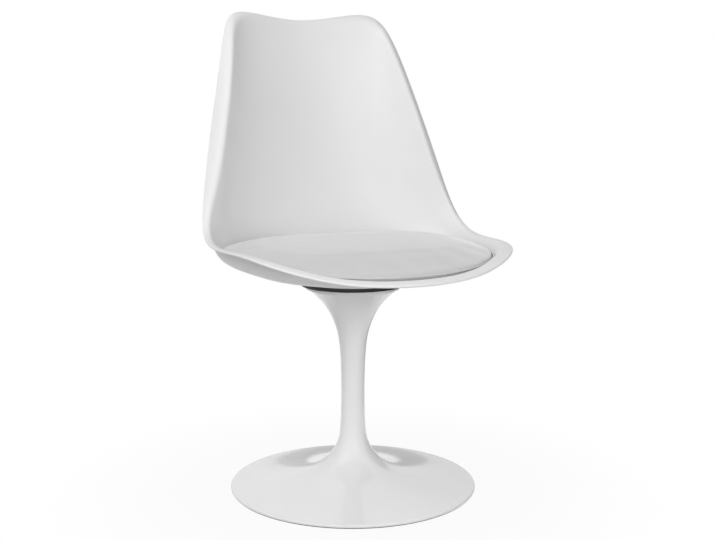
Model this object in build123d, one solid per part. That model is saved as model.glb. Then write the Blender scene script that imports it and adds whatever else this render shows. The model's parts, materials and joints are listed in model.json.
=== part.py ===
from build123d import *
import math
import os

os.makedirs("parts", exist_ok=True)

# Swivel dining chair: a moulded one-piece shell with an upholstered seat pad, on a
# trumpet-shaped pedestal. Millimetres, +Z up, sitter faces -Y. The origin is on the swivel
# axis at floor level.

# ---------------------------------------------------------------- driving dimensions
# pedestal casting
base_radius = 210.0
base_edge_height = 4.5
base_edge_round = 1.5
base_wall = 4.5
neck_radius = 20.0
neck_height = 165.0
trumpet_top_radius = 76.0
trumpet_top_height = 345.0
web_height = 56.0
web_thickness = 6.0
# rubber foot ring and bottom cover
foot_ring_width = 8.0
foot_ring_height = 3.5
foot_stand_off = 1.5
foot_ring_edge_distance = 2.0
cover_thickness = 1.5
cover_radius = 192.0
cover_ledge_width = 6.0
# top cap of the pedestal
cap_radius = 80.0
cap_thickness = 4.5
cap_shadow_gap = 0.8
cap_shadow_depth = 5.0
cap_spigot_radius = 60.0
cap_spigot_depth = 7.0
# swivel bearing
spindle_radius = 12.5
spindle_length = 84.0
spindle_end_chamfer = 1.0
bush_wall = 3.0
upper_bush_length = 20.0
lower_bush_length = 16.0
housing_wall = 3.0
housing_flange_radius = 40.0
housing_flange_thickness = 4.5
housing_depth = 96.0
race_width = 10.0
race_thickness = 2.5
ball_radius = 2.5
ball_count = 16
cage_thickness = 1.2
swivel_gap = 1.0
circlip_thickness = 1.2
circlip_groove_depth = 0.9
circlip_reach = 1.8
circlip_end_distance = 2.0
circlip_opening = 8.0
retaining_washer_thickness = 1.5
# tie rod and its base fastening
rod_radius = 5.0
rod_end_stand_out = 3.0
plug_length = 10.0
washer_radius = 14.0
washer_thickness = 2.0
lock_washer_radius = 9.0
lock_washer_thickness = 2.2
lock_washer_slit = 1.5
nut_across_flats = 17.0
nut_thickness = 8.0
# swivel plate and shell fastenings
plate_radius = 87.6
plate_thickness = 5.7
screw_circle_radius = 60.0
screw_count = 4
screw_radius = 3.0
screw_head_radius = 5.6
screw_head_height = 3.3
screw_length = 14.0
screw_socket_flats = 4.0
screw_socket_depth = 2.0
insert_radius = 4.5
insert_length = 12.0
boss_radius = 9.0
boss_height = 18.0
# moulded shell
shell_wall = 4.5
shell_mount_radius = 86.0
shell_mount_thickness = 12.0
shell_floor_rise = 14.0
shell_inner_radius = 70.0
strips_per_station = 3
seat_half_width = 239.4
seat_side_height = 427.0
seat_front_reach = 254.7
seat_front_height = 389.5
back_top_reach = 252.8
back_top_height = 801.2
bowl_half_width = 210.0
bowl_front_reach = 214.0
bowl_rear_reach = 192.0
bowl_front_height = 381.0
bowl_rear_height = 397.0
flange_front = 18.0
flange_corner = 22.0
flange_side = 12.0
flange_hip = 11.0
flange_back = 35.0
flange_shoulder = 23.0
flange_top = 7.0
# how far a rounding may run from its corner: a length, and a share of each line it joins
flange_bend = 27.0
flange_bend_share = 0.8
wall_top_bend_share = 0.36
bowl_bend_floor = 95.0
bowl_bend_floor_share = 0.85
bowl_bend_wall = 150.0
bowl_bend_wall_share = 0.5
# seat pad
pad_board_radius = 100.0
pad_board_thickness = 8.0
pad_tape_radius = 9.0
pad_tape_thickness = 1.5
pad_edge_height = 412.0
pad_fall = 17.0
pad_fall_start = -60.0
pad_fall_run = 175.0
pad_crown = 13.0
pad_skin = 1.5
pad_gap = 2.2
pad_foot_inset = 3.0
pad_side_inset = 2.0
pad_points_per_station = 2
# the crown's profile: the share of its rise, and the share of the widest line's radius
pad_crown_shape = [(0.0, 1.0), (0.25, 0.99), (0.5, 0.965), (0.75, 0.87), (0.9, 0.7), (1.0, 0.25)]
# counts and clearances
slope_sweeps = 60
crossing_halvings = 30
normal_step = 0.01
inner_line_count = 24
same_body_gap = 0.02
running_gap = 0.05
loose_gap = 0.3

# ---------------------------------------------------------------- heights that follow
cap_bottom = trumpet_top_height + cap_shadow_gap
cap_top = cap_bottom + cap_thickness
plate_bottom = cap_top + swivel_gap
plate_top = plate_bottom + plate_thickness


# ---------------------------------------------------------------- shell form
# The rim runs from the front centre round one side to the top centre. Each row holds the
# share of the seat's half width, the share of the front (-) or back (+) reach, the share of
# the height from front edge to side (front rows) or from side to back top (back rows), the
# flange's width, and the direction in which the flange turns out.
rim_rows = [
    (0.000, -1.000, 0.000, flange_front, (0.00, -0.95, -0.32)),
    (0.488, -0.915, 0.190, flange_front, (0.40, -0.87, -0.30)),
    (0.852, -0.680, 0.780, flange_corner, (0.80, -0.58, -0.15)),
    (0.956, -0.356, 0.980, (flange_corner + flange_side) / 2, (0.97, -0.20, -0.10)),
    (1.000, 0.059, 0.000, flange_side, (1.00, 0.00, 0.00)),
    (0.978, 0.326, 0.097, flange_hip, (0.72, 0.69, -0.05)),
    (0.904, 0.469, 0.319, (flange_hip + 3 * flange_back) / 4, (0.55, 0.83, 0.00)),
    (0.833, 0.565, 0.516, flange_back, (0.50, 0.86, 0.00)),
    (0.754, 0.662, 0.714, (3 * flange_back + flange_shoulder) / 4, (0.50, 0.86, 0.05)),
    (0.662, 0.795, 0.921, flange_shoulder, (0.50, 0.84, 0.20)),
    (0.484, 0.941, 1.031, (flange_shoulder + flange_top) / 2, (0.30, 0.85, 0.42)),
    (0.000, 1.000, 1.000, flange_top, (0.00, 0.85, 0.50)),
]
# Where the bowl's floor and its wall would meet if they were not rounded: the share of the
# bowl's half width, of its front (-) or rear (+) reach, and of the rise from its front
# height to its rear height.
bend_rows = [
    (0.000, -1.000, 0.00),
    (0.495, -0.925, 0.06),
    (0.848, -0.701, 0.20),
    (0.967, -0.374, 0.25),
    (1.000, 0.026, 0.28),
    (0.967, 0.417, 0.35),
    (0.870, 0.720, 0.50),
    (0.780, 0.880, 0.65),
    (0.660, 0.965, 0.75),
    (0.490, 0.997, 0.88),
    (0.260, 1.000, 0.94),
    (0.000, 1.000, 1.00),
]
shell_floor_height = plate_top + shell_floor_rise
front_station_count = 4
last_station = len(rim_rows) - 1


def lerp(start, end, share):
    return [a + (b - a) * share for a, b in zip(start, end)]


def bezier(start, corner, end, share):
    return lerp(lerp(start, corner, share), lerp(corner, end, share), share)


def station_values():
    """Rim point, flange root and bend point at each station of one half, as nine numbers."""
    values = []
    for index, (rim_row, bend_row) in enumerate(zip(rim_rows, bend_rows)):
        width_share, reach_share, height_share, flange, direction = rim_row
        at_front = index < front_station_count
        reach = seat_front_reach if at_front else back_top_reach
        low = seat_front_height if at_front else seat_side_height
        high = seat_side_height if at_front else back_top_height
        rim = (
            width_share * seat_half_width,
            reach_share * reach,
            low + height_share * (high - low),
        )
        size = math.hypot(*direction)
        root = [r - flange * d / size for r, d in zip(rim, direction)]
        bend_reach = bowl_front_reach if bend_row[1] < 0 else bowl_rear_reach
        bend = (
            bend_row[0] * bowl_half_width,
            bend_row[1] * bend_reach,
            bowl_front_height + bend_row[2] * (bowl_rear_height - bowl_front_height),
        )
        values.append([*rim, *root, *bend])
    return values


def closed_loop(half):
    """The half's stations followed by their mirror images, as one closed loop."""
    mirrored = []
    for values in half[-2:0:-1]:
        mirrored.append([-v if i % 3 == 0 else v for i, v in enumerate(values)])
    return half + mirrored


def loop_slopes(values):
    """Slopes of the smooth closed cubic curve through evenly spaced values."""
    count = len(values)
    slopes = [0.0] * count
    for sweep in range(slope_sweeps):
        for i in range(count):
            step = values[(i + 1) % count] - values[i - 1]
            slopes[i] = (3 * step - slopes[i - 1] - slopes[(i + 1) % count]) / 4
    return slopes


stations = closed_loop(station_values())
slopes = [loop_slopes([row[i] for row in stations]) for i in range(9)]


def station_at(place):
    """Rim point, flange root and bend point between stations, on smooth curves."""
    first = math.floor(place)
    t = place - first
    a = first % len(stations)
    b = (first + 1) % len(stations)
    start_weight = (1 + 2 * t) * (1 - t) ** 2
    start_slope = t * (1 - t) ** 2
    end_weight = t * t * (3 - 2 * t)
    end_slope = t * t * (t - 1)
    values = []
    for i in range(9):
        values.append(
            start_weight * stations[a][i]
            + start_slope * slopes[i][a]
            + end_weight * stations[b][i]
            + end_slope * slopes[i][b]
        )
    return values[0:3], values[3:6], values[6:9]


def shell_point(place, along, depth=0.0):
    """A point of the shell: along runs 0 to 5 over floor, bend, wall, root and flange."""
    if depth:
        across = shell_point(place + normal_step, along) - shell_point(place - normal_step, along)
        further = shell_point(place, min(along + normal_step, 5))
        outward = further - shell_point(place, max(along - normal_step, 0))
        return shell_point(place, along) + across.cross(outward).normalized() * depth
    rim, root, bend = station_at(place)
    turn = math.atan2(bend[0], -bend[1])
    start = [
        shell_inner_radius * math.sin(turn),
        -shell_inner_radius * math.cos(turn),
        shell_floor_height,
    ]
    floor_run = math.dist(start, bend)
    wall_run = math.dist(bend, root)
    flange = math.dist(root, rim)
    bend_start = lerp(bend, start, min(bowl_bend_floor_share, bowl_bend_floor / floor_run))
    bend_end = lerp(bend, root, min(bowl_bend_wall_share, bowl_bend_wall / wall_run))
    root_round = min(flange_bend_share * flange, wall_top_bend_share * wall_run, flange_bend)
    root_start = lerp(root, bend, root_round / wall_run)
    root_end = lerp(root, rim, root_round / flange)
    piece = min(int(along), 4)
    share = along - piece
    if piece == 0:
        return Vector(*lerp(start, bend_start, share))
    if piece == 1:
        return Vector(*bezier(bend_start, bend, bend_end, share))
    if piece == 2:
        return Vector(*lerp(bend_end, root_start, share))
    if piece == 3:
        return Vector(*bezier(root_start, root, root_end, share))
    return Vector(*lerp(root_end, rim, share))


def shell_section(place):
    """The shell's wall on one line from the mounting disc to the rim, with its round edge."""
    edges = []
    inner = [shell_point(place, along) for along in range(6)]
    outer = [shell_point(place, along, shell_wall) for along in range(6)]
    for face_points, depth in ((inner, 0.0), (outer, shell_wall)):
        face_edges = []
        for piece in range(5):
            start, end = face_points[piece], face_points[piece + 1]
            if piece in (1, 3):
                middle = shell_point(place, piece + 0.5, depth)
                corner = middle * 2 - (start + end) / 2
                face_edges.append(Bezier(start, corner, end).edge())
            else:
                face_edges.append(Line(start, end).edge())
        edges.append(face_edges)
    rim_middle = (inner[5] + outer[5]) / 2
    across = (outer[5] - inner[5]) / 2
    outward = (inner[5] - inner[4]).normalized() * across.length
    rim_tip = rim_middle + outward
    diagonal = math.sqrt(0.5)
    rim_edges = [
        ThreePointArc(inner[5], rim_middle + (outward - across) * diagonal, rim_tip).edge(),
        ThreePointArc(rim_tip, rim_middle + (outward + across) * diagonal, outer[5]).edge(),
    ]
    return Wire(edges[0] + rim_edges + edges[1] + [Line(outer[0], inner[0]).edge()])


def shell_loft():
    """The dished wall all round, as a ring of straight-ruled strips between sections."""
    section_count = strips_per_station * len(stations)
    sections = [shell_section(i / strips_per_station) for i in range(section_count)]
    sections.append(sections[0])
    return Solid.make_loft(sections, ruled=True)


# ---------------------------------------------------------------- small helpers
def disc(radius, bottom, top, inner_radius=0.0):
    """A round plate or ring about the swivel axis, between two heights."""
    height = top - bottom
    shape = Pos(0, 0, bottom) * Cylinder(radius, height, align=(Align.CENTER, Align.CENTER, Align.MIN))
    if inner_radius:
        hole = Pos(0, 0, bottom) * Cylinder(
            inner_radius, height, align=(Align.CENTER, Align.CENTER, Align.MIN)
        )
        shape = shape - hole
    return shape


def screw_places():
    """Centres of the screws that hold the shell on the swivel plate."""
    return [loc for loc in PolarLocations(screw_circle_radius, screw_count, start_angle=45)]


def write_node(name, shape, color):
    """One named node: its separate solids, without leftover wrapping."""
    solids = shape.solids() if hasattr(shape, "solids") else [shape]
    node = solids[0] if len(solids) == 1 else Compound(children=list(solids))
    node.label = name
    node.color = Color(color)
    export_step(node, f"parts/{name}.step")


# ---------------------------------------------------------------- pedestal
# Shares of the way from the neck out to the trumpet's mouth, and from the neck's middle up.
mouth_shape = [
    (0.000, 0.000),
    (0.040, 0.420),
    (0.150, 0.620),
    (0.350, 0.770),
    (0.606, 0.885),
    (1.000, 1.000),
]
# Shares of the way from the neck out to the foot's edge, and from the foot's edge up.
foot_shape = [
    (0.008, 0.650),
    (0.035, 0.455),
    (0.140, 0.268),
    (0.300, 0.148),
    (0.580, 0.062),
    (1.000, 0.000),
]
foot_edge_top = foot_stand_off + base_edge_height


def pedestal_outline_points():
    """The pedestal's outer line from the mouth down to the edge of the foot."""
    points = []
    for out, up in reversed(mouth_shape):
        radius = neck_radius + out * (trumpet_top_radius - neck_radius)
        height = neck_height + up * (trumpet_top_height - neck_height)
        points.append(Vector(radius, 0, height))
    for out, up in foot_shape:
        radius = neck_radius + out * (base_radius - base_edge_round - neck_radius)
        height = foot_edge_top + up * (neck_height - foot_edge_top)
        points.append(Vector(radius, 0, height))
    return points


def inner_line_points():
    """Points one wall inside the outer line, between the mouth's bore and the foot's ledge."""
    outer = Spline(*pedestal_outline_points())
    ledge_inner = cover_radius - cover_ledge_width
    points = []
    for i in range(inner_line_count + 1):
        share = i / inner_line_count
        inward = Vector(0, 1, 0).cross(outer % share).normalized()
        point = (outer @ share) + inward * base_wall
        if point.Z < mouth_floor - base_wall and point.X < ledge_inner - base_wall:
            points.append(point)
    return points + [Vector(ledge_inner, 0, cover_top)]


def pedestal():
    """Hollow casting: trumpet mouth, neck, flared foot, and a web across the foot's throat."""
    outer_points = pedestal_outline_points()
    inner_points = inner_line_points()
    bore_radius = cap_spigot_radius + loose_gap
    recess_radius = cover_radius + loose_gap
    edge_top = outer_points[-1].Z - base_edge_round
    foot = Polyline(
        outer_points[-1],
        (base_radius, 0, edge_top),
        (base_radius, 0, foot_stand_off),
        (recess_radius, 0, foot_stand_off),
        (recess_radius, 0, cover_top),
        inner_points[-1],
    )
    mouth = Polyline(
        inner_points[0],
        (inner_points[0].X, 0, mouth_floor),
        (bore_radius, 0, mouth_floor),
        (bore_radius, 0, trumpet_top_height),
        outer_points[0],
    )
    outer = Spline(*outer_points)
    inner = Spline(*inner_points[::-1])
    wall = make_face([outer.edge(), *foot.edges(), inner.edge(), *mouth.edges()])
    casting = revolve(wall, axis=Axis.Z)
    core = Polyline(
        outer_points[-1],
        (0, 0, outer_points[-1].Z),
        (0, 0, trumpet_top_height),
        outer_points[0],
    )
    full = revolve(make_face([outer.edge(), *core.edges()]), axis=Axis.Z)
    web = full & disc(base_radius, web_height, web_height + web_thickness, rod_radius + loose_gap)
    groove = disc(ring_outer_radius + loose_gap, 0, foot_ring_height, ring_inner_radius - loose_gap)
    return casting + web - groove


mouth_floor = trumpet_top_height - cap_spigot_depth - loose_gap
ring_outer_radius = base_radius - foot_ring_edge_distance
ring_inner_radius = ring_outer_radius - foot_ring_width
cover_bottom = foot_stand_off + loose_gap
cover_top = cover_bottom + cover_thickness


def foot_ring():
    """Rubber ring in a groove under the foot's edge; the chair stands on it."""
    return disc(ring_outer_radius, 0, foot_ring_height, ring_inner_radius)


def underside_cover():
    """Fibre disc that closes the hollow foot from below."""
    return disc(cover_radius, cover_bottom, cover_top)


# ---------------------------------------------------------------- swivel bearing
housing_inner_radius = spindle_radius + running_gap + bush_wall
housing_outer_radius = housing_inner_radius + housing_wall
race_inner_radius = spindle_radius + loose_gap
race_outer_radius = race_inner_radius + race_width
collar_radius = race_outer_radius + housing_wall
ball_circle_radius = (race_inner_radius + race_outer_radius) / 2
upper_race_bottom = plate_bottom - race_thickness
ball_height = upper_race_bottom - running_gap - ball_radius
lower_race_top = ball_height - ball_radius - running_gap
lower_race_bottom = lower_race_top - race_thickness
housing_bottom = cap_top - housing_depth
spindle_bottom = plate_top - spindle_length
upper_bush_top = lower_race_bottom - bush_wall
plug_top = housing_bottom + plug_length
lower_bush_bottom = (
    spindle_bottom + circlip_end_distance + circlip_thickness + retaining_washer_thickness + loose_gap
)
lower_bush_top = lower_bush_bottom + lower_bush_length


def top_cap():
    """White disc over the trumpet's mouth, with a spigot into it and a seat for the housing."""
    cap = disc(cap_radius, cap_bottom, cap_top)
    cap += disc(trumpet_top_radius - cap_shadow_depth, trumpet_top_height, cap_bottom)
    cap += disc(cap_spigot_radius, trumpet_top_height - cap_spigot_depth, trumpet_top_height)
    cap -= disc(housing_flange_radius + same_body_gap, cap_top - housing_flange_thickness, cap_top)
    return cap - disc(collar_radius + same_body_gap, 0, cap_top)


def bearing_housing():
    """Steel tube with a flange: it carries the thrust bearing and both bushes."""
    housing = disc(housing_outer_radius, housing_bottom, cap_top)
    housing += disc(housing_flange_radius, cap_top - housing_flange_thickness, cap_top)
    housing += disc(collar_radius, lower_race_bottom - housing_wall, cap_top - housing_flange_thickness)
    housing -= disc(housing_inner_radius + same_body_gap, housing_bottom, cap_top)
    return housing - disc(race_outer_radius + loose_gap, lower_race_bottom, cap_top)


def upper_bush():
    """Sleeve that guides the spindle just under the thrust bearing."""
    bottom = upper_bush_top - upper_bush_length
    return disc(housing_inner_radius, bottom, upper_bush_top, spindle_radius + running_gap)


def lower_bush():
    """Sleeve that guides the spindle's lower end."""
    return disc(housing_inner_radius, lower_bush_bottom, lower_bush_top, spindle_radius + running_gap)


def lower_race():
    """Flat hardened ring in the housing, under the balls."""
    return disc(race_outer_radius, lower_race_bottom, lower_race_top, race_inner_radius)


def upper_race():
    """Flat hardened ring under the swivel plate, on the balls."""
    return disc(race_outer_radius, upper_race_bottom, plate_bottom, race_inner_radius)


def bearing_balls():
    """The ring of loose balls between the two races."""
    balls = [loc * Sphere(ball_radius) for loc in PolarLocations(ball_circle_radius, ball_count)]
    return Compound(children=[Pos(0, 0, ball_height) * ball for ball in balls])


def ball_cage():
    """Thin ring that keeps the balls apart."""
    cage = disc(
        race_outer_radius - loose_gap,
        ball_height - cage_thickness / 2,
        ball_height + cage_thickness / 2,
        race_inner_radius + loose_gap,
    )
    for place in PolarLocations(ball_circle_radius, ball_count):
        cage -= Pos(0, 0, ball_height) * place * Cylinder(ball_radius + running_gap, 2 * cage_thickness)
    return cage


def spindle():
    """Steel shaft fixed in the swivel plate, with a groove for its retaining ring."""
    shaft = disc(spindle_radius, spindle_bottom, plate_top)
    shaft = chamfer(shaft.edges().sort_by(Axis.Z)[0], spindle_end_chamfer)
    groove_bottom = spindle_bottom + circlip_end_distance
    groove = disc(
        spindle_radius, groove_bottom, groove_bottom + circlip_thickness, spindle_radius - circlip_groove_depth
    )
    return shaft - groove


def spindle_circlip():
    """Open spring ring in the spindle's groove."""
    bottom = spindle_bottom + circlip_end_distance
    ring = disc(
        spindle_radius + circlip_reach,
        bottom,
        bottom + circlip_thickness,
        spindle_radius - circlip_groove_depth + same_body_gap,
    )
    opening_depth = 2 * (circlip_reach + circlip_groove_depth)
    opening = Box(circlip_opening, opening_depth, 4 * circlip_thickness)
    opening = Pos(0, -spindle_radius, bottom) * opening
    return ring - opening


def retaining_washer():
    """Washer between the retaining ring and the lower bush."""
    bottom = spindle_bottom + circlip_end_distance + circlip_thickness
    top = bottom + retaining_washer_thickness
    return disc(housing_inner_radius - loose_gap, bottom, top, spindle_radius + same_body_gap)


# ---------------------------------------------------------------- tie rod
rod_bottom = web_height - washer_thickness - lock_washer_thickness - nut_thickness - rod_end_stand_out


def housing_plug():
    """Threaded plug in the housing's lower end; the tie rod is screwed into it."""
    plug = disc(housing_inner_radius, housing_bottom, plug_top)
    return plug - disc(rod_radius + same_body_gap, housing_bottom, plug_top)


def tie_rod():
    """Rod that pulls the housing and the cap down on to the casting."""
    return disc(rod_radius, rod_bottom, plug_top)


def base_washer():
    """Flat washer under the casting's web."""
    return disc(washer_radius, web_height - washer_thickness, web_height, rod_radius + loose_gap)


def base_lock_washer():
    """Split spring washer above the nut."""
    top = web_height - washer_thickness
    ring = disc(lock_washer_radius, top - lock_washer_thickness, top, rod_radius + loose_gap)
    slit_depth = 2 * (lock_washer_radius - rod_radius)
    slit = Box(lock_washer_slit, slit_depth, 4 * lock_washer_thickness)
    return ring - Pos(0, -lock_washer_radius, top) * slit


def base_nut():
    """Hexagon nut on the tie rod's lower end."""
    top = web_height - washer_thickness - lock_washer_thickness
    hexagon = RegularPolygon(nut_across_flats / 2, 6, major_radius=False)
    nut = extrude(Pos(0, 0, top - nut_thickness) * hexagon, nut_thickness)
    return nut - disc(rod_radius + same_body_gap, top - nut_thickness, top)


# ---------------------------------------------------------------- plate and fastenings
def swivel_plate():
    """Black steel disc between the pedestal and the shell."""
    plate = disc(plate_radius, plate_bottom, plate_top, spindle_radius + same_body_gap)
    for place in screw_places():
        plate -= place * screw_space(same_body_gap)
    return plate


def screw_space(gap):
    """The outline of a countersunk screw, grown by a gap."""
    upright = (Align.CENTER, Align.CENTER, Align.MIN)
    head = Cone(screw_head_radius + gap, screw_radius + gap, screw_head_height, align=upright)
    return Pos(0, 0, plate_bottom) * head + disc(screw_radius + gap, plate_bottom, plate_bottom + screw_length)


def plate_screws():
    """Countersunk screws, heads flush with the plate's underside."""
    hexagon = RegularPolygon(screw_socket_flats / 2, 6, major_radius=False)
    socket = extrude(hexagon, screw_socket_depth)
    screw = screw_space(0) - Pos(0, 0, plate_bottom) * socket
    return Compound(children=[place * screw for place in screw_places()])


def shell_inserts():
    """Threaded brass inserts moulded into the shell."""
    insert = disc(insert_radius, plate_top, plate_top + insert_length, screw_radius + same_body_gap)
    return Compound(children=[place * insert for place in screw_places()])


def seat_shell():
    """One-piece moulded seat and back, with a mounting disc and four insert bosses."""
    shell = shell_loft() + disc(shell_mount_radius, plate_top, plate_top + shell_mount_thickness)
    for place in screw_places():
        shell += place * disc(boss_radius, plate_top, plate_top + boss_height)
        shell -= place * disc(insert_radius + same_body_gap, plate_top, plate_top + insert_length)
    return shell


# ---------------------------------------------------------------- seat pad
boss_top = plate_top + boss_height
board_bottom = boss_top + 2 * pad_tape_thickness
board_top = board_bottom + pad_board_thickness


def hook_tape():
    """Hook-and-loop patches stuck on the shell's bosses."""
    patch = disc(pad_tape_radius, boss_top, boss_top + pad_tape_thickness)
    return Compound(children=[place * patch for place in screw_places()])


def loop_tape():
    """Hook-and-loop patches stuck under the pad's board."""
    patch = disc(pad_tape_radius, boss_top + pad_tape_thickness, board_bottom)
    return Compound(children=[place * patch for place in screw_places()])


def pad_board():
    """Stiff plywood disc under the pad's foam."""
    return disc(pad_board_radius, board_bottom, board_top)


def pad_edge(y):
    """Height of the pad's widest line: level at the back, falling away at the front."""
    fall_share = max(0, (pad_fall_start - y) / pad_fall_run)
    return pad_edge_height - pad_fall * fall_share**2


def pad_level(share, y):
    """Height at a share of the way from the pad's foot to its widest line."""
    return board_top + share * (pad_edge(y) - board_top)


def bowl_crossing(place, share, inset, radius_share):
    """Where the bowl's face, up to its wall's top, reaches a level of the pad, drawn in."""
    low, high = 0.0, 3.0
    for halving in range(crossing_halvings):
        middle = (low + high) / 2
        point = shell_point(place, middle)
        if point.Z < pad_level(share, point.Y):
            low = middle
        else:
            high = middle
    point = shell_point(place, low)
    flat = Vector(point.X, point.Y, 0)
    flat = (flat - flat.normalized() * inset) * radius_share
    return Vector(flat.X, flat.Y, pad_level(share, flat.Y))


def pad_section(share, rise, inset, radius_share=1.0):
    """The bowl's outline at a level of the pad, drawn in and moved up by a rise, in arcs."""
    places = [i / pad_points_per_station for i in range(pad_points_per_station * last_station + 1)]
    half = [bowl_crossing(place, share, inset, radius_share) for place in places]
    half = [point + Vector(0, 0, rise) for point in half]
    mirrored = [Vector(-p.X, p.Y, p.Z) for p in half[-2:0:-1]]
    loop = half + mirrored
    count = len(loop)
    arcs = []
    for first in range(-1, count - 1, 2):
        arcs.append(ThreePointArc(loop[first], loop[first + 1], loop[(first + 2) % count]).edge())
    return Wire(arcs)


def pad_form(shrink):
    """The pad's crowned body, with sides drawn in under its widest line, made smaller all round."""
    gap = pad_gap + 2 * shrink
    sections = [
        pad_section(0, shrink, gap + pad_foot_inset),
        pad_section(0.5, 0, gap + pad_side_inset),
    ]
    for rise_share, radius_share in pad_crown_shape:
        sections.append(pad_section(1, rise_share * pad_crown - shrink, gap, radius_share))
    return Solid.make_loft(sections, ruled=True)


def pad_cover():
    """Sewn leatherette cover, a closed skin round the foam."""
    return pad_form(0) - pad_form(pad_skin)


def pad_foam():
    """The foam inside the cover."""
    return pad_form(pad_skin)


WHITE = "White"
nodes = [
    ("pedestal", pedestal, WHITE),
    ("foot_ring", foot_ring, "DimGray"),
    ("underside_cover", underside_cover, "Gray"),
    ("top_cap", top_cap, WHITE),
    ("bearing_housing", bearing_housing, "Silver"),
    ("upper_bush", upper_bush, "Goldenrod"),
    ("lower_bush", lower_bush, "Goldenrod"),
    ("lower_race", lower_race, "LightSteelBlue"),
    ("ball_cage", ball_cage, "Goldenrod"),
    ("bearing_balls", bearing_balls, "Silver"),
    ("upper_race", upper_race, "LightSteelBlue"),
    ("spindle", spindle, "Silver"),
    ("spindle_circlip", spindle_circlip, "DimGray"),
    ("retaining_washer", retaining_washer, "Silver"),
    ("housing_plug", housing_plug, "Silver"),
    ("tie_rod", tie_rod, "Silver"),
    ("base_washer", base_washer, "Silver"),
    ("base_lock_washer", base_lock_washer, "DimGray"),
    ("base_nut", base_nut, "Silver"),
    ("swivel_plate", swivel_plate, "Black"),
    ("plate_screws", plate_screws, "DimGray"),
    ("shell_inserts", shell_inserts, "Goldenrod"),
    ("seat_shell", seat_shell, WHITE),
    ("hook_tape", hook_tape, "Gray"),
    ("loop_tape", loop_tape, "DimGray"),
    ("pad_board", pad_board, "BurlyWood"),
    ("pad_foam", pad_foam, "Khaki"),
    ("pad_cover", pad_cover, "Gainsboro"),
]

for name, make, color in nodes:
    write_node(name, make(), color)
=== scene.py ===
import json
import math
import bpy
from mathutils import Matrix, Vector, noise


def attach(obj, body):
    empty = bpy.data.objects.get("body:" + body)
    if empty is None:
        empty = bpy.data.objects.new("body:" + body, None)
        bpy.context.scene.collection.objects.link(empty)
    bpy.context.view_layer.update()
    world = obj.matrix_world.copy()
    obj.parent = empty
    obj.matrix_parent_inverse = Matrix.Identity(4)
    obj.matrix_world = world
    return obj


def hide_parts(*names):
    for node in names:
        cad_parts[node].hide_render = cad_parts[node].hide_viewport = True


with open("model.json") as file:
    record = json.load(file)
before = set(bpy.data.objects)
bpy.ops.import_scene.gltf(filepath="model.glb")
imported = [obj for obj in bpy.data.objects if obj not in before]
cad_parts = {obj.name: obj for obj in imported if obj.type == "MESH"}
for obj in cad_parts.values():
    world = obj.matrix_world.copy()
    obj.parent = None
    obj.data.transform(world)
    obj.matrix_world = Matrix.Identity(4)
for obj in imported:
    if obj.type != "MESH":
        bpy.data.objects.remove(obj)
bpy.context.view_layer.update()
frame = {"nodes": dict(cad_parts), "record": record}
nodes = frame["nodes"]
MM = 0.001

# ---------------------------------------------------------------- shell form (millimetres)
# One line runs from the middle of the bowl out to the rim at each station. The stations go
# from the front, round the chair's left side, to the top of the back; the other side mirrors
# them. The rim rows hold the rim's place as shares of the sizes below, the flange's width and
# its direction. The bend rows hold the corner between floor and wall, also as shares.
HALF_WIDTH, SIDE_HEIGHT = 239.4, 427.0
FRONT_REACH, FRONT_HEIGHT = 254.7, 389.5
TOP_REACH, TOP_HEIGHT = 252.8, 801.2
BOWL_HALF_WIDTH, BOWL_FRONT, BOWL_REAR = 210.0, 214.0, 192.0
BOWL_LOW, BOWL_HIGH = 381.0, 397.0
WALL = 4.5
MOUNT_RADIUS, INNER_RADIUS = 86.0, 70.0
PLATE_TOP, FLOOR_Z = 357.0, 371.0
FLOOR_BEND_RUN, FLOOR_BEND_SHARE = 95.0, 0.85
WALL_BEND_RUN, WALL_BEND_SHARE = 150.0, 0.5
ROOT_ROUNDING, ROOT_FLANGE_SHARE, ROOT_WALL_SHARE = 27.0, 0.8, 0.36
CURVE_SWEEPS = 60
RIM_ROWS = [
    (0.000, -1.000, 0.000, 18.0, (0.00, -0.95, -0.32)),
    (0.488, -0.915, 0.190, 18.0, (0.40, -0.87, -0.30)),
    (0.852, -0.680, 0.780, 22.0, (0.80, -0.58, -0.15)),
    (0.956, -0.356, 0.980, 17.0, (0.97, -0.20, -0.10)),
    (1.000, 0.059, 0.000, 12.0, (1.00, 0.00, 0.00)),
    (0.978, 0.326, 0.097, 11.0, (0.72, 0.69, -0.05)),
    (0.904, 0.469, 0.319, 29.0, (0.55, 0.83, 0.00)),
    (0.833, 0.565, 0.516, 35.0, (0.50, 0.86, 0.00)),
    (0.754, 0.662, 0.714, 32.0, (0.50, 0.86, 0.05)),
    (0.662, 0.795, 0.921, 23.0, (0.50, 0.84, 0.20)),
    (0.484, 0.941, 1.031, 15.0, (0.30, 0.85, 0.42)),
    (0.000, 1.000, 1.000, 7.0, (0.00, 0.85, 0.50)),
]
BEND_ROWS = [
    (0.000, -1.000, 0.00),
    (0.495, -0.925, 0.06),
    (0.848, -0.701, 0.20),
    (0.967, -0.374, 0.25),
    (1.000, 0.026, 0.28),
    (0.967, 0.417, 0.35),
    (0.870, 0.720, 0.50),
    (0.780, 0.880, 0.65),
    (0.660, 0.965, 0.75),
    (0.490, 0.997, 0.88),
    (0.260, 1.000, 0.94),
    (0.000, 1.000, 1.00),
]
FRONT_STATIONS = 4


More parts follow.
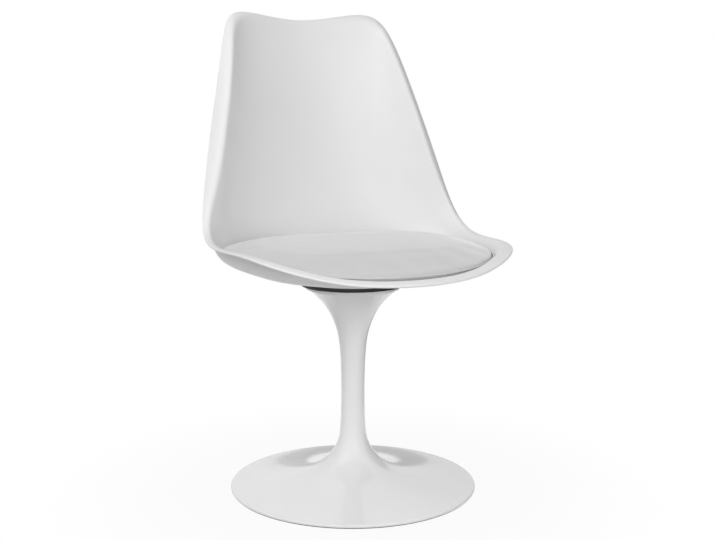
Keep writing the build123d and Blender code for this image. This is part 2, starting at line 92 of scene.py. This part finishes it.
def half_stations():
    rows = []
    for index, (rim_row, bend_row) in enumerate(zip(RIM_ROWS, BEND_ROWS)):
        across, reach_share, rise, flange, direction = rim_row
        front = index < FRONT_STATIONS
        reach = FRONT_REACH if front else TOP_REACH
        low, high = (FRONT_HEIGHT, SIDE_HEIGHT) if front else (SIDE_HEIGHT, TOP_HEIGHT)
        rim = Vector((across * HALF_WIDTH, reach_share * reach, low + rise * (high - low)))
        root = rim - Vector(direction).normalized() * flange
        bend_reach = BOWL_FRONT if bend_row[1] < 0 else BOWL_REAR
        bend = Vector((
            bend_row[0] * BOWL_HALF_WIDTH,
            bend_row[1] * bend_reach,
            BOWL_LOW + bend_row[2] * (BOWL_HIGH - BOWL_LOW),
        ))
        rows.append([*rim, *root, *bend])
    return rows


def loop_slopes(values):
    """Slopes of the smooth closed cubic curve through evenly spaced values."""
    count = len(values)
    slopes = [0.0] * count
    for sweep in range(CURVE_SWEEPS):
        for i in range(count):
            step = values[(i + 1) % count] - values[i - 1]
            slopes[i] = (3 * step - slopes[i - 1] - slopes[(i + 1) % count]) / 4
    return slopes


STATIONS = half_stations()
STATIONS += [[-v if i % 3 == 0 else v for i, v in enumerate(row)] for row in STATIONS[-2:0:-1]]
SLOPES = [loop_slopes([row[i] for row in STATIONS]) for i in range(9)]


def station_at(place):
    """Rim point, flange root and bend point between stations."""
    first = math.floor(place)
    t = place - first
    a, b = first % len(STATIONS), (first + 1) % len(STATIONS)
    weights = (1 + 2 * t) * (1 - t) ** 2, t * (1 - t) ** 2, t * t * (3 - 2 * t), t * t * (t - 1)
    v = [
        weights[0] * STATIONS[a][i] + weights[1] * SLOPES[i][a]
        + weights[2] * STATIONS[b][i] + weights[3] * SLOPES[i][b]
        for i in range(9)
    ]
    return Vector(v[0:3]), Vector(v[3:6]), Vector(v[6:9])


def bezier(start, corner, end, share):
    return start.lerp(corner, share).lerp(corner.lerp(end, share), share)


def shell_line(place, alongs):
    """Points of the sitter's face on one line: 0 to 5 along is floor, bend, wall, root, flange."""
    rim, root, bend = station_at(place)
    turn = math.atan2(bend.x, -bend.y)
    start = Vector((INNER_RADIUS * math.sin(turn), -INNER_RADIUS * math.cos(turn), FLOOR_Z))
    wall_run = (bend - root).length
    flange = (root - rim).length
    bend_start = bend.lerp(start, min(FLOOR_BEND_SHARE, FLOOR_BEND_RUN / (start - bend).length))
    bend_end = bend.lerp(root, min(WALL_BEND_SHARE, WALL_BEND_RUN / wall_run))
    rounding = min(ROOT_FLANGE_SHARE * flange, ROOT_WALL_SHARE * wall_run, ROOT_ROUNDING)
    root_start = root.lerp(bend, rounding / wall_run)
    root_end = root.lerp(rim, rounding / flange)
    points = []
    for along in alongs:
        piece = min(int(along), 4)
        share = along - piece
        if piece == 0:
            points.append(start.lerp(bend_start, share))
        elif piece == 1:
            points.append(bezier(bend_start, bend, bend_end, share))
        elif piece == 2:
            points.append(bend_end.lerp(root_start, share))
        elif piece == 3:
            points.append(bezier(root_start, root, root_end, share))
        else:
            points.append(root_end.lerp(rim, share))
    return points


# ---------------------------------------------------------------- mesh helpers
def add_object(name, verts, faces, smooth=True):
    mesh = bpy.data.meshes.new(name)
    mesh.from_pydata([tuple(v) for v in verts], [], faces)
    mesh.validate()
    mesh.update()
    if smooth:
        mesh.shade_smooth()
    obj = bpy.data.objects.new(name, mesh)
    bpy.context.scene.collection.objects.link(obj)
    return obj


def rings_mesh(rings, first_index=0):
    """Faces between rings of equal length, with a fan at each end."""
    count = len(rings[0])
    verts = [p for ring in rings for p in ring]
    faces = []
    for r in range(len(rings) - 1):
        for i in range(count):
            j = (i + 1) % count
            faces.append((
                first_index + r * count + i, first_index + r * count + j,
                first_index + (r + 1) * count + j, first_index + (r + 1) * count + i,
            ))
    verts.append(sum(rings[0], Vector()) / count)
    tip = first_index + len(verts) - 1
    faces += [(tip, first_index + (i + 1) % count, first_index + i) for i in range(count)]
    verts.append(sum(rings[-1], Vector()) / count)
    tip = first_index + len(verts) - 1
    base = first_index + (len(rings) - 1) * count
    faces += [(tip, base + i, base + (i + 1) % count) for i in range(count)]
    return verts, faces


def circle(radius, height, turns, centre=(0.0, 0.0)):
    return [
        Vector((centre[0] + radius * math.sin(a), centre[1] - radius * math.cos(a), height))
        for a in turns
    ]


def even_turns(count):
    return [2 * math.pi * i / count for i in range(count)]


# ---------------------------------------------------------------- shell
COLUMNS = 330
ROWS_PER_PIECE = (5, 16, 14, 12, 6)
RIM_STEPS = 8
MOUNT_MARGIN, MOUNT_FACE_RADIUS = 4.0, 40.0
MOUNT_RINGS = (
    (88.6, 9.5), (87.2, 9.0), (86.3, 8.0), (MOUNT_RADIUS, 6.8), (MOUNT_RADIUS, 0.6), (85.7, 0.15),
    (85.2, 0.0), (MOUNT_FACE_RADIUS, 0.0),
)
BOSS_REACH, BOSS_SIDES = 60.0, 32
BOSS_RINGS = ((9.0, 12.0), (9.0, 17.4), (8.8, 17.85), (8.4, 18.0))
ALONGS = [piece + i / rows for piece, rows in enumerate(ROWS_PER_PIECE) for i in range(rows)] + [5]
places = [len(STATIONS) * i / COLUMNS for i in range(COLUMNS)]
lines = [shell_line(place, ALONGS) for place in places]
inner_rings = [[line[row] for line in lines] for row in range(len(ALONGS))]


def ring_normals(rings, row):
    """Directions away from the sitter at each point of a ring."""
    before, after = rings[max(row - 1, 0)], rings[min(row + 1, len(rings) - 1)]
    normals = []
    for i in range(COLUMNS):
        across = rings[row][(i + 1) % COLUMNS] - rings[row][i - 1]
        outward = after[i] - before[i]
        normals.append(across.cross(outward).normalized())
    return normals


outer_rings = []
for row, ring in enumerate(inner_rings):
    normals = ring_normals(inner_rings, row)
    outer_rings.append([p + n * WALL for p, n in zip(ring, normals)])
rim_rings = []
for step in range(1, RIM_STEPS):
    turn = math.pi * step / RIM_STEPS
    ring = []
    for inner, outer, before in zip(inner_rings[-1], outer_rings[-1], inner_rings[-2]):
        middle, half = (inner + outer) / 2, (inner - outer) / 2
        outward = (inner - before).normalized() * half.length
        ring.append(middle + half * math.cos(turn) + outward * math.sin(turn))
    rim_rings.append(ring)
under_rings = []
for ring in reversed(outer_rings):
    if min(math.hypot(p.x, p.y) for p in ring) > MOUNT_RADIUS + MOUNT_MARGIN:
        under_rings.append(ring)
turns = [math.atan2(p.x, -p.y) for p in inner_rings[0]]
under_rings += [circle(radius, PLATE_TOP + rise, turns) for radius, rise in MOUNT_RINGS]
top_rings = [circle(MOUNT_FACE_RADIUS, FLOOR_Z, turns)]
verts, faces = rings_mesh(top_rings + inner_rings + rim_rings + under_rings)
for turn in (45, 135, 225, 315):
    spot = [BOSS_REACH * f(math.radians(turn)) for f in (math.cos, math.sin)]
    boss = [circle(r, PLATE_TOP + rise, even_turns(BOSS_SIDES), spot) for r, rise in BOSS_RINGS]
    more, boss_faces = rings_mesh(boss, first_index=len(verts))
    verts += more
    faces += [tuple(reversed(f)) for f in boss_faces]
shell = add_object("moulded_shell", [v * MM for v in verts], [tuple(reversed(f)) for f in faces])
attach(shell, "seat")
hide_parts("seat_shell")

# ---------------------------------------------------------------- seat pad
PAD_EDGE, PAD_FOOT = 412.0, 386.0
PAD_FALL_START, PAD_FALL_RUN, PAD_FALL = -60.0, 175.0, 17.0
PAD_GAP = 2.4
PAD_COLUMNS = 220
# The pad's side, as shares of its height and the gap added there, and its crown, as the rise
# over the edge and the inset from it.
PAD_SIDE = ((0.3, 2.5), (0.6, 1.0), (0.86, 0.3))
PAD_CROWN = (
    (2.2, 0.8), (4.2, 2.8), (6.0, 6.5), (7.3, 12), (8.4, 20), (9.6, 32), (10.8, 48), (11.8, 70),
    (12.6, 96), (13.0, 125),
)
PAD_FOOT_INSET = 5.0
BISECTIONS = 24


def pad_edge(y):
    """Height of the pad's widest line: level at the back, falling to the front."""
    fall = max(0.0, (PAD_FALL_START - y) / PAD_FALL_RUN)
    return PAD_EDGE - PAD_FALL * fall * fall


def bowl_crossing(place, height_at, inset):
    """Where the bowl's face, up to its wall's top, reaches a level, less an inset."""
    low, high = 0.0, 3.0
    for halving in range(BISECTIONS):
        middle = (low + high) / 2
        point = shell_line(place, [middle])[0]
        if point.z < height_at(point.y):
            low = middle
        else:
            high = middle
    point = shell_line(place, [low])[0]
    flat = Vector((point.x, point.y, 0)).normalized()
    point = point - flat * inset
    return Vector((point.x, point.y, height_at(point.y)))


def pad_ring(share, inset):
    """A ring along the bowl at a share of the pad's height, from foot to edge."""
    def height_at(y):
        return PAD_FOOT + share * (pad_edge(y) - PAD_FOOT)

    count = len(STATIONS)
    return [bowl_crossing(count * i / PAD_COLUMNS, height_at, inset) for i in range(PAD_COLUMNS)]


foot_ring = pad_ring(0.0, PAD_GAP + PAD_FOOT_INSET)
pad_rings = [
    [Vector((p.x * share, p.y * share, PAD_FOOT)) for p in foot_ring] for share in (0.5, 0.9)
]
pad_rings.append(foot_ring)
pad_rings += [pad_ring(share, PAD_GAP + inset) for share, inset in PAD_SIDE]
edge_ring = pad_ring(1.0, PAD_GAP)
pad_rings.append(edge_ring)
for rise, inset in PAD_CROWN:
    ring = []
    for p in edge_ring:
        flat = Vector((p.x, p.y, 0))
        moved = flat.normalized() * (flat.length - inset)
        ring.append(Vector((moved.x, moved.y, pad_edge(moved.y) + rise)))
    pad_rings.append(ring)
crown_rise = PAD_CROWN[-1][0]
pad_rings.append([
    Vector((p.x * 0.5, p.y * 0.5, pad_edge(p.y * 0.5) + crown_rise)) for p in pad_rings[-1]
])
verts, faces = rings_mesh(pad_rings)
pad = add_object("seat_pad", [v * MM for v in verts], [tuple(reversed(f)) for f in faces])


VOXEL, SWELL_CAP = 0.005, 0.004
HELD_LEAST, HELD_RUN = 0.4, 0.006
SWELL_PRESSURE, SWELL_FRAMES, EVENINGS = 4, 20, 24


def linked_vertices(mesh):
    beside = [[] for v in mesh.vertices]
    for edge in mesh.edges:
        a, b = edge.vertices
        beside[a].append(b)
        beside[b].append(a)
    return beside


def swell(obj, pinned_below):
    """Fills a cushion: cloth under pressure, its foot and sides held, and no point moving far.

    The swell is evened out over the mesh, so that the cover is taut and has no creases.
    """
    remesh = obj.modifiers.new("remesh", "REMESH")
    remesh.mode = "VOXEL"
    remesh.voxel_size = VOXEL
    depsgraph = bpy.context.evaluated_depsgraph_get()
    mesh = bpy.data.meshes.new_from_object(obj.evaluated_get(depsgraph))
    obj.modifiers.clear()
    obj.data = mesh
    group = obj.vertex_groups.new(name="held")
    for v in mesh.vertices:
        below = pinned_below(v.co) - v.co.z
        weight = min(1.0, max(0.0, HELD_LEAST + below / HELD_RUN))
        group.add([v.index], weight, "REPLACE")
    cloth = obj.modifiers.new("cloth", "CLOTH")
    cloth.settings.vertex_group_mass = "held"
    cloth.settings.use_pressure = True
    cloth.settings.uniform_pressure_force = SWELL_PRESSURE
    cloth.settings.effector_weights.gravity = 0
    cloth.settings.quality = 5
    scene = bpy.context.scene
    for step in range(SWELL_FRAMES):
        scene.frame_set(step + 1)
    depsgraph = bpy.context.evaluated_depsgraph_get()
    moved = bpy.data.meshes.new_from_object(obj.evaluated_get(depsgraph))
    shifts = [new.co - old.co for old, new in zip(mesh.vertices, moved.vertices)]
    beside = linked_vertices(mesh)
    for evening in range(EVENINGS):
        shifts = [
            (own + sum((shifts[k] for k in near), Vector()) / len(near)) / 2
            for own, near in zip(shifts, beside)
        ]
    for old, shift in zip(mesh.vertices, shifts):
        if shift.length > SWELL_CAP:
            shift = shift * (SWELL_CAP / shift.length)
        old.co = old.co + shift
    obj.modifiers.clear()
    obj.vertex_groups.clear()
    scene.frame_set(1)
    bpy.data.meshes.remove(moved)
    relax = obj.modifiers.new("relax", "SMOOTH")
    relax.factor = 0.5
    relax.iterations = 3
    finer = obj.modifiers.new("finer", "SUBSURF")
    finer.levels = finer.render_levels = 1
    depsgraph = bpy.context.evaluated_depsgraph_get()
    mesh = bpy.data.meshes.new_from_object(obj.evaluated_get(depsgraph))
    obj.modifiers.clear()
    obj.data = mesh
    mesh.shade_smooth()


def edge_height(co):
    """The pad edge's height at a point, in metres."""
    return pad_edge(co.y / MM) * MM


EDGE_MARGIN, LIFT_RUN = 0.0005, 0.008
# Each layer of the cover's unevenness: waves per metre, height in metres, and its noise's slice.
UNEVEN_LAYERS = ((9, 0.0008, 3.1), (24, 0.0003, 7.7))

swell(pad, lambda co: edge_height(co) + EDGE_MARGIN)
for v in pad.data.vertices:
    lift = max(0.0, min(1.0, (v.co.z - edge_height(v.co)) / LIFT_RUN))
    soft = 0.0
    for waves, depth, part in UNEVEN_LAYERS:
        soft += noise.noise(Vector((v.co.x * waves, v.co.y * waves, part))) * depth
    v.co.z += soft * lift
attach(pad, "seat")
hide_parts("pad_cover", "pad_foam")


def looped_rings(name, rings):
    """A surface through rings of equal length, the last of which joins the first."""
    count, sides = len(rings), len(rings[0])
    verts = [v for ring in rings for v in ring]
    faces = []
    for i in range(count):
        j = (i + 1) % count
        for k in range(sides):
            m = (k + 1) % sides
            faces.append((i * sides + k, j * sides + k, j * sides + m, i * sides + m))
    return add_object(name, [v * MM for v in verts], [tuple(reversed(f)) for f in faces])


WELT_RADIUS, WELT_SIDES = 1.5, 10
WELT_OUT, WELT_DROP = 0.2, 0.6
welt_path = [
    p + Vector((p.x, p.y, 0)).normalized() * WELT_OUT - Vector((0, 0, WELT_DROP)) for p in edge_ring
]
welt_rings = []
for i, p in enumerate(welt_path):
    along = (welt_path[(i + 1) % len(welt_path)] - welt_path[i - 1]).normalized()
    side = along.cross(Vector((0, 0, 1))).normalized()
    up = side.cross(along)
    welt_rings.append([
        p + side * WELT_RADIUS * math.cos(turn) + up * WELT_RADIUS * math.sin(turn)
        for turn in even_turns(WELT_SIDES)
    ])
welt = looped_rings("pad_edge_welt", welt_rings)
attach(welt, "seat")


# ---------------------------------------------------------------- pedestal
NECK_RADIUS, NECK_HEIGHT = 20.0, 165.0
MOUTH_RADIUS, MOUTH_HEIGHT = 76.0, 345.0
FOOT_RADIUS, FOOT_EDGE = 208.5, 6.0
# The outline's points, as shares of the way out and up from the neck, and down to the foot.
MOUTH_SHAPE = (
    (0.000, 0.000), (0.040, 0.420), (0.150, 0.620), (0.350, 0.770), (0.606, 0.885), (1.000, 1.000),
)
FOOT_SHAPE = (
    (0.008, 0.650), (0.035, 0.455), (0.140, 0.268), (0.300, 0.152), (0.580, 0.066), (0.860, 0.016),
    (1.000, 0.000),
)
OUTLINE_STEPS, PEDESTAL_SIDES = 14, 256
MOUTH_RIM = [(60.2, MOUTH_HEIGHT), (74.0, MOUTH_HEIGHT)]
FOOT_RIM = [
    (209.0, 5.8), (209.5, 5.4), (209.85, 4.9), (210.0, 4.2), (210.0, 2.2), (209.6, 1.6), (208.2, 1.5),
]
RING_SEAT = [(208.2, 3.5), (199.8, 3.5), (199.8, 1.5), (192.2, 1.5), (192.2, 3.2), (186.0, 3.2)]
HOLLOW = [
    (70.0, 24.0), (16.0, 72.0), (15.5, NECK_HEIGHT), (17.0, 240.0), (24.0, 282.0), (36.0, 310.0),
    (50.0, 328.0), (60.2, 338.0),
]


def smooth_path(points, steps):
    """Points of a smooth open curve through the given ones, by chord lengths."""
    chords = [math.sqrt((b - a).length) for a, b in zip(points, points[1:])]
    slopes = [Vector((0, 0))] * len(points)
    for sweep in range(CURVE_SWEEPS):
        for i in range(len(points)):
            if i == 0:
                slopes[0] = (3 * (points[1] - points[0]) / chords[0] - slopes[1]) / 2
            elif i == len(points) - 1:
                slopes[i] = (3 * (points[i] - points[i - 1]) / chords[-1] - slopes[i - 1]) / 2
            else:
                a, b = chords[i - 1], chords[i]
                ahead, behind = points[i + 1] - points[i], points[i] - points[i - 1]
                pull = 3 * (a * ahead / b + b * behind / a)
                slopes[i] = (pull - b * slopes[i - 1] - a * slopes[i + 1]) / (2 * (a + b))
    path = []
    for i, run in enumerate(chords):
        for step in range(steps):
            t = step / steps
            path.append(
                (1 + 2 * t) * (1 - t) ** 2 * points[i] + t * (1 - t) ** 2 * run * slopes[i]
                + t * t * (3 - 2 * t) * points[i + 1] + t * t * (t - 1) * run * slopes[i + 1]
            )
    return path + [points[-1]]


def spread(shape, radius, low, high):
    """Points of the pedestal's outline between the neck and a radius, and between two heights."""
    return [
        Vector((NECK_RADIUS + out * (radius - NECK_RADIUS), low + up * (high - low)))
        for out, up in shape
    ]


outline = spread(reversed(MOUTH_SHAPE), MOUTH_RADIUS, NECK_HEIGHT, MOUTH_HEIGHT)
outline += spread(FOOT_SHAPE, FOOT_RADIUS, FOOT_EDGE, NECK_HEIGHT)
profile = MOUTH_RIM + [tuple(p) for p in smooth_path(outline, OUTLINE_STEPS)]
profile += FOOT_RIM + RING_SEAT + HOLLOW
casting_rings = [circle(radius, height, even_turns(PEDESTAL_SIDES)) for radius, height in profile]
casting = looped_rings("cast_pedestal", casting_rings)
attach(casting, "base")
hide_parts("pedestal")


# ---------------------------------------------------------------- materials
COAT_ROUGHNESS = 0.08


def surface(name, metallic=0.0, coat=0.0, sheen=0.0):
    """A node material with its Principled shader, and the coordinates in metres."""
    material = bpy.data.materials.new(name)
    material.use_nodes = True
    tree = material.node_tree
    shader = tree.nodes["Principled BSDF"]
    shader.inputs["Metallic"].default_value = metallic
    shader.inputs["Coat Weight"].default_value = coat
    shader.inputs["Coat Roughness"].default_value = COAT_ROUGHNESS
    shader.inputs["Sheen Weight"].default_value = sheen
    coords = tree.nodes.new("ShaderNodeTexCoord")
    return material, tree, shader, coords.outputs["Object"]


def noise_value(tree, coords, scale, detail=4.0, stretch=None):
    if stretch:
        mapping = tree.nodes.new("ShaderNodeMapping")
        mapping.inputs["Scale"].default_value = stretch
        tree.links.new(coords, mapping.inputs["Vector"])
        coords = mapping.outputs["Vector"]
    texture = tree.nodes.new("ShaderNodeTexNoise")
    texture.inputs["Scale"].default_value = scale
    texture.inputs["Detail"].default_value = detail
    tree.links.new(coords, texture.inputs["Vector"])
    return texture.outputs["Fac"]


def ranged(tree, value, low, high, from_low=0.3, from_high=0.7):
    """A value's range, which is about 0.3 to 0.7 for a noise, moved to another one."""
    node = tree.nodes.new("ShaderNodeMapRange")
    node.inputs["From Min"].default_value = from_low
    node.inputs["From Max"].default_value = from_high
    node.inputs["To Min"].default_value = low
    node.inputs["To Max"].default_value = high
    tree.links.new(value, node.inputs["Value"])
    return node.outputs["Result"]


def tinted(tree, shader, value, low, high):
    """Base colour between two colours by a value."""
    mix = tree.nodes.new("ShaderNodeMix")
    mix.data_type = "RGBA"
    mix.inputs["A"].default_value = (*low, 1)
    mix.inputs["B"].default_value = (*high, 1)
    tree.links.new(value, mix.inputs["Factor"])
    tree.links.new(mix.outputs["Result"], shader.inputs["Base Color"])


def bumped(tree, shader, layers):
    """Stacks bumps: each layer is a value, a depth in metres and a strength."""
    normal = None
    for value, depth, strength in layers:
        bump = tree.nodes.new("ShaderNodeBump")
        bump.inputs["Distance"].default_value = depth
        bump.inputs["Strength"].default_value = strength
        tree.links.new(value, bump.inputs["Height"])
        if normal:
            tree.links.new(normal, bump.inputs["Normal"])
        normal = bump.outputs["Normal"]
    tree.links.new(normal, shader.inputs["Normal"])


def moulded_plastic():
    """Satin plastic: a faint cloud of colour, slight waves of the mould, and fine grain."""
    material, tree, shader, coords = surface("moulded_white")
    cloud = noise_value(tree, coords, 6, 3)
    tinted(tree, shader, ranged(tree, cloud, 0, 1), (0.825, 0.826, 0.826), (0.85, 0.85, 0.85))
    rub = noise_value(tree, coords, 55, 6)
    tree.links.new(ranged(tree, rub, 0.29, 0.42), shader.inputs["Roughness"])
    grain = noise_value(tree, coords, 1400, 2)
    wave = noise_value(tree, coords, 14, 2)
    bumped(tree, shader, [(wave, 0.0006, 0.25), (grain, 0.00003, 0.3)])
    return material


def enamel(name, color, darker, roughness, peel, coat):
    """Sprayed paint: a faint cloud of colour, uneven gloss, and the peel of the sprayed coat."""
    material, tree, shader, coords = surface(name, coat=coat)
    cloud = noise_value(tree, coords, 9, 3)
    tinted(tree, shader, ranged(tree, cloud, 0, 1), darker, color)
    rub = noise_value(tree, coords, 70, 6)
    tree.links.new(ranged(tree, rub, roughness - 0.04, roughness + 0.06), shader.inputs["Roughness"])
    peel_value = noise_value(tree, coords, 380, 2)
    bumped(tree, shader, [(peel_value, 0.00008, peel)])
    return material


def leatherette():
    """Coated cloth: fine grain in cells, a soft cloud of colour, and sheen at flat angles."""
    material, tree, shader, coords = surface("white_leatherette", sheen=0.8)
    shader.inputs["Specular IOR Level"].default_value = 0.9
    cells = tree.nodes.new("ShaderNodeTexVoronoi")
    cells.feature = "DISTANCE_TO_EDGE"
    cells.inputs["Scale"].default_value = 620
    tree.links.new(coords, cells.inputs["Vector"])
    crease = ranged(tree, cells.outputs["Distance"], 0, 1, 0.0, 0.28)
    cloud = noise_value(tree, coords, 10, 4)
    tinted(tree, shader, ranged(tree, cloud, 0, 1), (0.555, 0.555, 0.559), (0.595, 0.595, 0.595))
    tree.links.new(ranged(tree, crease, 0.5, 0.38, 0, 1), shader.inputs["Roughness"])
    soft = noise_value(tree, coords, 60, 3)
    bumped(tree, shader, [(soft, 0.0005, 0.2), (crease, 0.00012, 0.5)])
    return material


def metal(name, color, darker, roughness, stretch=(1, 1, 60)):
    """Bare metal with turning marks drawn out along one axis."""
    material, tree, shader, coords = surface(name, metallic=1.0)
    marks = noise_value(tree, coords, 60, 5, stretch=stretch)
    tinted(tree, shader, ranged(tree, marks, 0, 1), darker, color)
    tree.links.new(ranged(tree, marks, roughness - 0.06, roughness + 0.1), shader.inputs["Roughness"])
    bumped(tree, shader, [(marks, 0.00005, 0.4)])
    return material


def rough_solid(name, color, darker, roughness, scale, depth, stretch=None):
    """Rubber, board, tape or foam: one grain for colour, gloss and relief."""
    material, tree, shader, coords = surface(name)
    grain = noise_value(tree, coords, scale, 6, stretch=stretch)
    tinted(tree, shader, ranged(tree, grain, 0, 1), darker, color)
    tree.links.new(ranged(tree, grain, roughness + 0.08, roughness - 0.06), shader.inputs["Roughness"])
    bumped(tree, shader, [(grain, depth, 0.5)])
    return material


def grey(value):
    return value, value, value


slot_materials = {
    "white_enamel": enamel("white_enamel", grey(0.9), grey(0.885), 0.2, peel=0.12, coat=0.8),
    "black_enamel": enamel("black_enamel", grey(0.008), grey(0.012), 0.6, peel=0.6, coat=0.0),
    "white_plastic": moulded_plastic(),
    "white_leatherette": leatherette(),
    "foot_rubber": rough_solid("foot_rubber", grey(0.03), grey(0.02), 0.75, 900, 0.0001),
    "fibre_board": rough_solid("fibre_board", grey(0.09), grey(0.05), 0.85, 500, 0.0002),
    "bright_steel": metal("bright_steel", (0.6, 0.6, 0.61), (0.5, 0.5, 0.51), 0.3),
    "hard_steel": metal("hard_steel", (0.56, 0.57, 0.6), (0.5, 0.51, 0.53), 0.18),
    "spring_steel": metal("spring_steel", (0.16, 0.16, 0.17), (0.1, 0.1, 0.1), 0.4),
    "zinc_steel": metal("zinc_steel", (0.62, 0.63, 0.66), (0.52, 0.53, 0.54), 0.35, (3, 3, 3)),
    "bronze": metal("bronze", (0.48, 0.3, 0.13), (0.36, 0.22, 0.1), 0.35),
    "brass": metal("brass", (0.65, 0.45, 0.18), (0.5, 0.34, 0.13), 0.3),
    "tape_dark": rough_solid("tape_dark", grey(0.03), grey(0.01), 0.9, 1500, 0.0004),
    "plywood": rough_solid(
        "plywood", (0.5, 0.33, 0.18), (0.36, 0.22, 0.11), 0.6, 40, 0.0002, (1, 12, 12)),
    "foam": rough_solid("foam", (0.7, 0.62, 0.3), (0.6, 0.52, 0.24), 0.95, 700, 0.0004),
}
node_slots = {part["node"]: part["material_slot"] for part in frame["record"]["subparts"]}
for name, node in nodes.items():
    for index in range(max(1, len(node.material_slots))):
        if not node.material_slots:
            node.data.materials.append(None)
        node.material_slots[index].material = slot_materials[node_slots[name]]
shell.data.materials.append(slot_materials["white_plastic"])
casting.data.materials.append(slot_materials["white_enamel"])
pad.data.materials.clear()
pad.data.materials.append(slot_materials["white_leatherette"])
welt.data.materials.append(slot_materials["white_leatherette"])


# ---------------------------------------------------------------- studio
FLOOR_HALF, FLOOR_ALBEDO = 15.0, 0.45
# The floor is white to the camera by this share near the foot, where its shadow shows, and
# wholly white from the outer radius on.
SHADOW_SHARE, SHADOW_RADIUS, WHITE_RADIUS = 0.94, 0.22, 0.55
WORLD_STRENGTH = 0.34
CARD_GREY, CARD_LIFT = 0.4, 0.001
LAMP_DISTANCE, LAMP_SIZE, LAMP_AIM = 1.7, 1.2, (0, 0, 0.55)


def combined(tree, operation, first, second):
    node = tree.nodes.new("ShaderNodeMath")
    node.operation = operation
    tree.links.new(first, node.inputs[0])
    tree.links.new(second, node.inputs[1])
    return node.outputs[0]


def seen_rays(tree):
    """1 for camera, mirror and glass rays, and 0 for the rays that light things."""
    path = tree.nodes.new("ShaderNodeLightPath")
    seen = combined(tree, "MAXIMUM", path.outputs["Is Camera Ray"], path.outputs["Is Glossy Ray"])
    return combined(tree, "MAXIMUM", seen, path.outputs["Is Transmission Ray"])


def mixed(tree, share, plain, shown, output):
    """Sends two shaders to a tree's output, mixed by a share."""
    mix = tree.nodes.new("ShaderNodeMixShader")
    for socket, source in enumerate((share, plain, shown)):
        tree.links.new(source, mix.inputs[socket])
    tree.links.new(mix.outputs[0], tree.nodes[output].inputs["Surface"])


def glow(tree, value):
    """A plain emission of one grey value."""
    light = tree.nodes.new("ShaderNodeEmission")
    light.inputs["Color"].default_value = (*grey(value), 1)
    return light.outputs[0]


def staged(name, corners, material):
    """A plain sheet of the studio, which is no part of the chair."""
    sheet = add_object(name, corners, [(0, 1, 2, 3)], smooth=False)
    sheet.data.materials.append(material)


floor_material = bpy.data.materials.new("pale_floor")
floor_material.use_nodes = True
tree = floor_material.node_tree
shader = tree.nodes["Principled BSDF"]
shader.inputs["Base Color"].default_value = (*grey(FLOOR_ALBEDO), 1)
shader.inputs["Roughness"].default_value = 0.9
coords = tree.nodes.new("ShaderNodeTexCoord")
far = tree.nodes.new("ShaderNodeVectorMath")
far.operation = "LENGTH"
tree.links.new(coords.outputs["Object"], far.inputs[0])
share = ranged(tree, far.outputs["Value"], SHADOW_SHARE, 1.0, SHADOW_RADIUS, WHITE_RADIUS)
share = combined(tree, "MULTIPLY", seen_rays(tree), share)
mixed(tree, share, shader.outputs[0], glow(tree, 1.0), "Material Output")
corners = [(x * FLOOR_HALF, y * FLOOR_HALF, 0) for x, y in ((-1, -1), (1, -1), (1, 1), (-1, 1))]
staged("floor", corners, floor_material)

world = bpy.context.scene.world or bpy.data.worlds.new("studio")
bpy.context.scene.world = world
world.use_nodes = True
tree = world.node_tree
background = tree.nodes["Background"]
background.inputs["Color"].default_value = (1, 1, 1, 1)
background.inputs["Strength"].default_value = WORLD_STRENGTH
seen = tree.nodes.new("ShaderNodeBackground")
seen.inputs["Color"].default_value = (1, 1, 1, 1)
seen.inputs["Strength"].default_value = 1.0
mixed(tree, seen_rays(tree), background.outputs[0], seen.outputs[0], "World Output")

# Cards low behind the chair, at its left and on the floor there are white to the camera and
# grey to all other rays. They give the enamel the photograph's dark reflections.
card_material = bpy.data.materials.new("grey_card")
card_material.use_nodes = True
tree = card_material.node_tree
seen = tree.nodes.new("ShaderNodeLightPath").outputs["Is Camera Ray"]
mixed(tree, seen, glow(tree, CARD_GREY), glow(tree, 1.0), "Material Output")
staged("card_behind", [(-0.5, 6, 0), (5.5, 5, 0), (5.5, 5, 0.85), (-0.5, 6, 0.85)], card_material)
staged("card_beside", [(4, -1.5, 0), (4, 3.5, 0), (4, 3.5, 3), (4, -1.5, 3)], card_material)
corners = [(x, y, CARD_LIFT) for x, y in ((0.56, -0.9), (2.4, -0.9), (2.4, 1.0), (0.56, 1.0))]
staged("card_on_floor", corners, card_material)


def area_light(name, turn, rise, power):
    """A round soft lamp aimed at the chair's middle; turn is from the front to its right side."""
    light = bpy.data.lights.new(name, "AREA")
    light.shape = "DISK"
    light.size = LAMP_SIZE
    light.energy = power
    obj = bpy.data.objects.new(name, light)
    turn, rise = math.radians(turn), math.radians(rise)
    flat = math.cos(rise)
    way = Vector((-math.sin(turn) * flat, -math.cos(turn) * flat, math.sin(rise)))
    obj.location = Vector(LAMP_AIM) + way * LAMP_DISTANCE
    obj.rotation_euler = (-way).to_track_quat("-Z", "Y").to_euler()
    obj.visible_glossy = False
    bpy.context.scene.collection.objects.link(obj)


area_light("front_lamp", 8, 7, 13.5)
area_light("side_lamp", 80, 40, 13)
area_light("back_lamp", 200, -6, 6)

# ---------------------------------------------------------------- camera
camera_data = bpy.data.cameras.new("camera")
camera_data.sensor_width = 36
camera_data.lens = 57.96
camera = bpy.data.objects.new("camera", camera_data)
camera.location = (-0.7342, -1.7725, 0.6675)
camera.rotation_euler = (math.radians(81.34), 0, math.radians(-22.76))
bpy.context.scene.collection.objects.link(camera)
bpy.context.scene.camera = camera
bpy.context.scene.view_settings.view_transform = "Standard"
